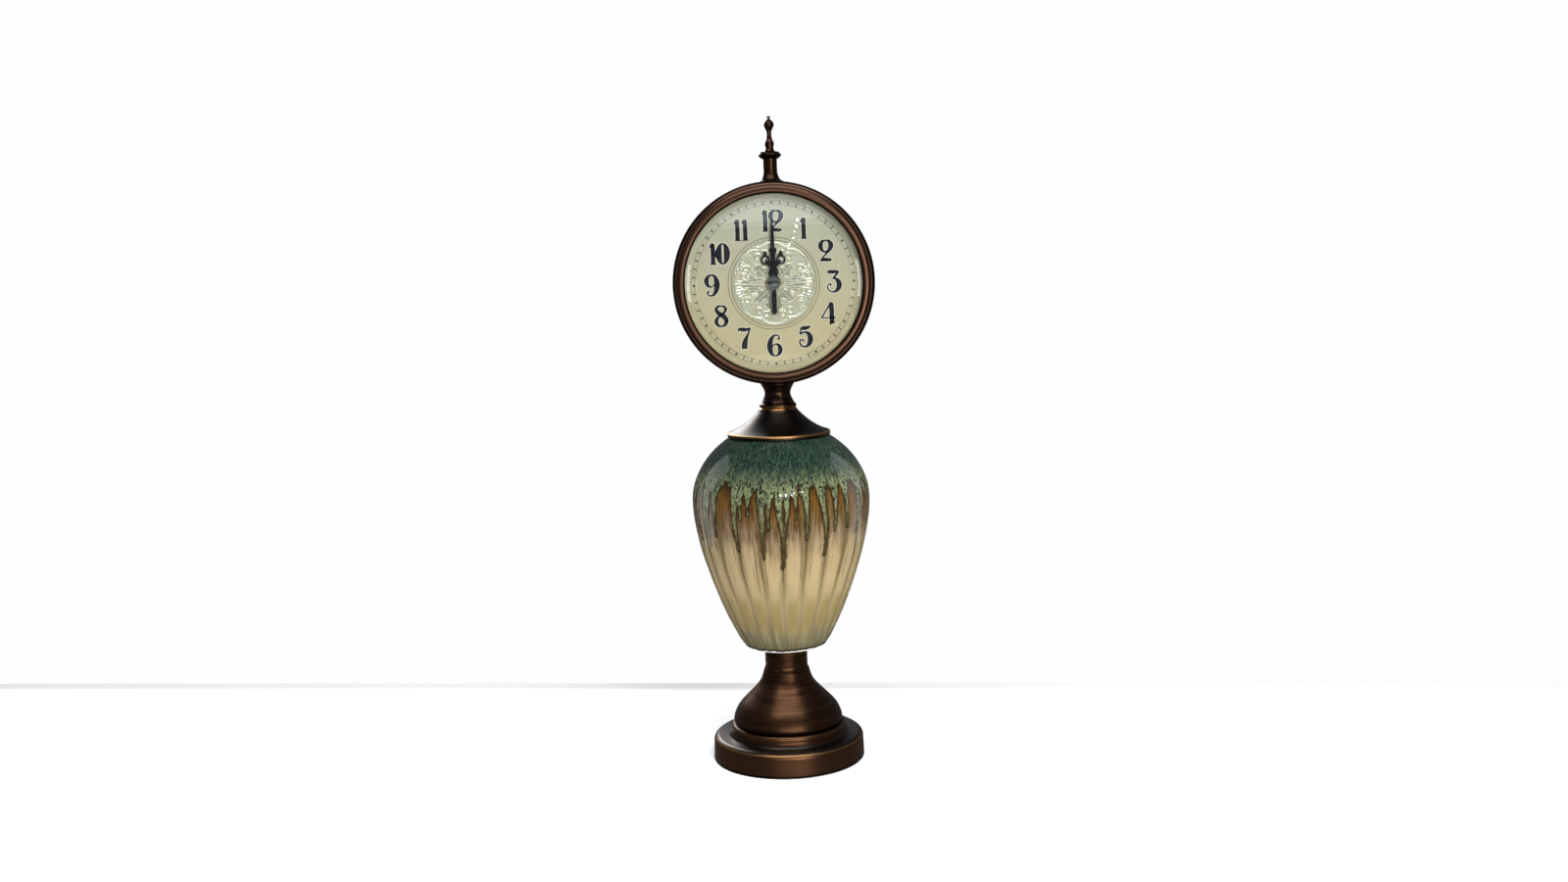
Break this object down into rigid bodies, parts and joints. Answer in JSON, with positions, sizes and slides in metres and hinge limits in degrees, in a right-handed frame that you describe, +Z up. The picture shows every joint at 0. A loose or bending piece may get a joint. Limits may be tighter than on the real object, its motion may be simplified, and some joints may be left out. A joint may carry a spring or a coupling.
{
  "type": "table clock",
  "caption": "Round-headed table clock on a glazed ceramic urn, with a bronzed stepped base, moulded bezel, domed glass, pierced hands, geared quartz movement and a turned finial.",
  "frame": {"origin": "centre of the underside of the base pad", "axes": "+Z up, -Y the way the dial faces, +X to the right seen from the front"},
  "size_m": [0.146, 0.132, 0.4766],
  "materials": {
    "bronze_base": "antique bronze, brushed round, satin lacquer",
    "bronze_cap": "nearly black bronze, satin, rubbed edge",
    "bronze_turned": "dark antique bronze, polished by turning",
    "bronze_bezel": "copper-brown bronze, brushed round",
    "bronze_drum": "dark bronze, satin",
    "glaze": "drip glaze, green over amber over beige, high gloss",
    "felt": "black felt",
    "iron": "rough casting",
    "zinc": "zinc-plated steel",
    "rubber": "black rubber",
    "lens_glass": "clear domed glass",
    "dial_print": "champagne dial, satin",
    "spacer_metal": "satin ring",
    "hand_black": "gloss black hands",
    "hub_black": "polished dark hub",
    "brass_nut": "polished brass",
    "gear_plastic": "moulded acetal",
    "case_plastic": "fine-textured black moulding",
    "knob_plastic": "ribbed moulding",
    "steel_core": "soft iron laminations",
    "copper_wire": "enamelled winding wire",
    "board": "green board",
    "crystal_can": "bright can",
    "magnet": "sintered magnet",
    "cell_jacket": "plain printed jacket"
  },
  "bodies": {
    "clock": {"base_pad": "felt", "base_plate": "zinc", "base_shell": "bronze_base", "base_weight": "iron", "foot_washer": "zinc", "foot_nut": "zinc", "base_collar": "bronze_base", "foot_gasket": "rubber", "ceramic_body": "glaze", "cap_gasket": "rubber", "vase_cap": "bronze_cap", "neck_collar": "bronze_turned", "tie_tube": "zinc", "neck_washer": "zinc", "neck_nut": "zinc", "case_drum": "bronze_drum", "front_bezel": "bronze_bezel", "lens": "lens_glass", "lens_gasket": "rubber", "dial_plate": "dial_print", "dial_spacer": "spacer_metal", "rear_cover": "bronze_drum", "rear_screws": "zinc", "finial_stem": "bronze_turned", "finial_spire": "bronze_turned", "finial_stud": "zinc", "finial_washer": "zinc", "finial_nut": "zinc", "movement_case": "case_plastic", "movement_cover": "case_plastic", "movement_washer": "rubber", "centre_nut": "brass_nut", "train_bridge": "gear_plastic", "drive_coil": "copper_wire", "stator_core": "steel_core", "circuit_board": "board", "quartz_crystal": "crystal_can", "battery": "cell_jacket", "battery_contacts": "zinc"},
    "seconds": {"second_hand": "hand_black", "hub_cap": "hub_black", "seconds_wheel": "gear_plastic"},
    "minutes": {"minute_hand": "hand_black", "centre_wheel": "gear_plastic"},
    "hours": {"hour_hand": "hand_black", "hour_wheel": "gear_plastic"},
    "third": {"third_wheel": "gear_plastic"},
    "setting": {"motion_wheel": "gear_plastic", "set_knob": "knob_plastic"},
    "fifth": {"fifth_wheel": "gear_plastic"},
    "rotor": {"magnet_rotor": "magnet"}
  },
  "joints": [
    {"name": "second_turn", "type": "hinge", "parent": "clock", "child": "seconds", "pos_m": [0, 0, 0.3566], "axis": [0, 1, 0], "continuous": true},
    {"name": "minute_turn", "type": "hinge", "parent": "clock", "child": "minutes", "pos_m": [0, 0, 0.3566], "axis": [0, 1, 0], "continuous": true},
    {"name": "hour_turn", "type": "hinge", "parent": "clock", "child": "hours", "pos_m": [0, 0, 0.3566], "axis": [0, 1, 0], "continuous": true},
    {"name": "third_turn", "type": "hinge", "parent": "clock", "child": "third", "pos_m": [-0.00998, 0, 0.36236], "axis": [0, 1, 0], "continuous": true},
    {"name": "setting_turn", "type": "hinge", "parent": "clock", "child": "setting", "pos_m": [0.012, 0, 0.3566], "axis": [0, 1, 0], "continuous": true},
    {"name": "fifth_turn", "type": "hinge", "parent": "clock", "child": "fifth", "pos_m": [0.0042, 0, 0.36387], "axis": [0, 1, 0], "continuous": true},
    {"name": "rotor_turn", "type": "hinge", "parent": "clock", "child": "rotor", "pos_m": [0.0078, 0, 0.37011], "axis": [0, 1, 0], "continuous": true}
  ],
  "couplings": [
    {"joint": "third_turn", "follows": "second_turn", "ratio": -0.13333},
    {"joint": "minute_turn", "follows": "second_turn", "ratio": 0.016667},
    {"joint": "setting_turn", "follows": "second_turn", "ratio": -0.0055556},
    {"joint": "hour_turn", "follows": "second_turn", "ratio": 0.0013889},
    {"joint": "fifth_turn", "follows": "second_turn", "ratio": -6},
    {"joint": "rotor_turn", "follows": "second_turn", "ratio": 30}
  ]
}
